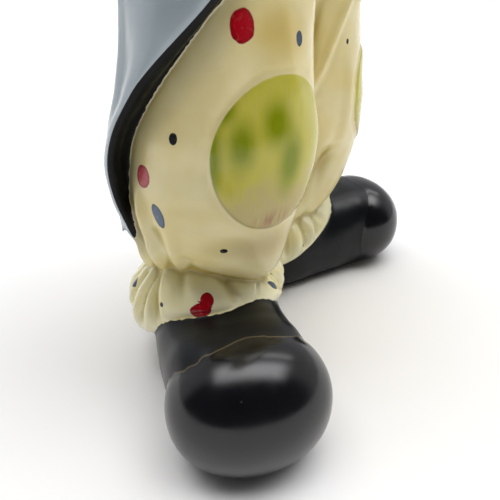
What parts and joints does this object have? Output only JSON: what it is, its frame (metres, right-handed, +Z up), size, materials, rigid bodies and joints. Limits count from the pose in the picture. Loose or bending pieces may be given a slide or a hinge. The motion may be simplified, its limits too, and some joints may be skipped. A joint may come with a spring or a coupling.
{
  "type": "pierrot figurine",
  "caption": "Glazed ceramic pierrot in round-toed black shoes, baggy spotted cream trousers with knee patches, a long blue-grey coat, a ruff and a black skullcap, hands in its pockets.",
  "frame": {"origin": "bottom centre of the bounding box, on the floor under the soles", "axes": "+Z up, -Y the way the figure faces, +X towards its own left"},
  "size_m": [0.2208, 0.1226, 0.4295],
  "materials": {
    "glazed_ceramic": "gloss"
  },
  "bodies": {
    "root": {"pierrot_figurine": "glazed_ceramic"}
  },
  "joints": []
}
